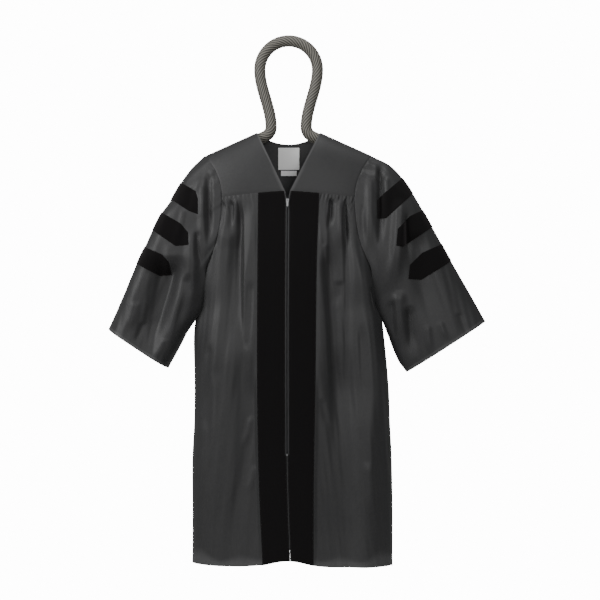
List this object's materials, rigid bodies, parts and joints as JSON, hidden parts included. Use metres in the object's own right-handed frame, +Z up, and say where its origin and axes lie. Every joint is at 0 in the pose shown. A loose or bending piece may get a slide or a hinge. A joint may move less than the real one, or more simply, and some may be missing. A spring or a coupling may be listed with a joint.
{
  "type": "graduation gown on a tube hanger",
  "caption": "Open bell-sleeved academic gown with velvet facings, velvet sleeve bars and a front zip, hung on a bent tube hanger.",
  "frame": {"origin": "inner top of the hanger's loop, where a hook or rail carries it", "axes": "+Z up, -Y towards the front of the gown, +X towards the wearer's left"},
  "size_m": [1.095, 0.1961, 1.5449],
  "materials": {
    "satin": "charcoal satin-faced polyester, soft sheen",
    "velvet": "black velvet with a short nap",
    "zip_tape": "black woven zip tape",
    "zip_teeth": "dark moulded coil",
    "zip_metal": "bright nickel",
    "label": "bare white woven label",
    "hanger_tube": "grey ribbed tube"
  },
  "bodies": {
    "gown": {"front_yoke_right": "satin", "front_yoke_left": "satin", "back_yoke": "satin", "front_panel_right": "satin", "front_panel_left": "satin", "back_panel": "satin", "sleeve_right": "satin", "sleeve_left": "satin", "velvet_facing_right": "velvet", "velvet_facing_left": "velvet", "sleeve_bar_right_1": "velvet", "sleeve_bar_right_2": "velvet", "sleeve_bar_right_3": "velvet", "sleeve_bar_left_1": "velvet", "sleeve_bar_left_2": "velvet", "sleeve_bar_left_3": "velvet", "zip_tape_right": "zip_tape", "zip_tape_left": "zip_tape", "zip_chain": "zip_teeth", "zip_slider": "zip_metal", "zip_stop": "zip_metal", "label_main": "label", "label_size": "label", "hanger": "hanger_tube"},
    "pull_tab": {"zip_pull": "zip_metal"}
  },
  "joints": [
    {"name": "pull_tab_hinge", "type": "hinge", "parent": "gown", "child": "pull_tab", "pos_m": [-0.00299, -0.07572, -0.451], "axis": [-1, 0, 0], "range_deg": [0, 150]}
  ]
}
